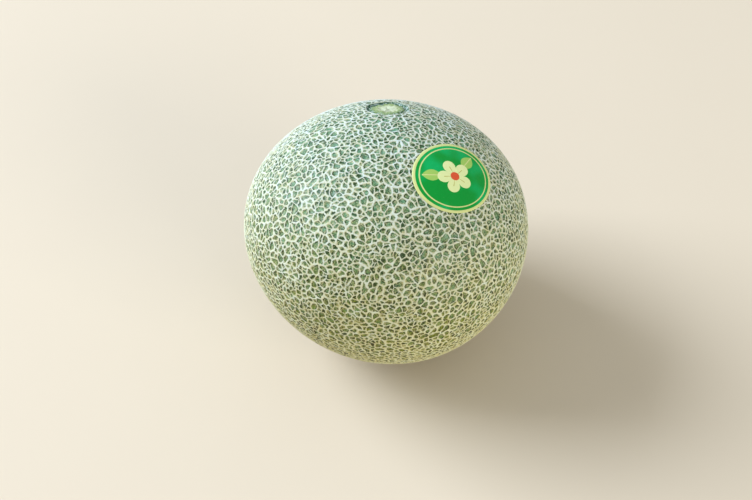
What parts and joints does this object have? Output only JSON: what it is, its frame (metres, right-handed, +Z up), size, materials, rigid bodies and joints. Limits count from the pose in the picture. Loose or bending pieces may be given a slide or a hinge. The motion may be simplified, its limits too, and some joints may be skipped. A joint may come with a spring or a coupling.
{
  "type": "otome melon",
  "caption": "Small round melon with a fine raised net, a sunken stem scar and an oval sticker, resting on a small flat spot with its stem end leaning back.",
  "frame": {"origin": "on the surface the melon rests on, under the middle of its bounding box; this point is inside the flat rest spot", "axes": "+Z up; the stem end leans back towards +Y by 26.5 degrees; the sticker faces up, to the +X side of the front, -Y"},
  "size_m": [0.134, 0.1318, 0.1243],
  "materials": {
    "rind": "matte corky net of pale grey-green over a smooth green rind",
    "printed_paper": "printed coated paper, green with a cream rim, slight gloss"
  },
  "bodies": {
    "root": {"melon": "rind", "label": "printed_paper"}
  },
  "joints": []
}
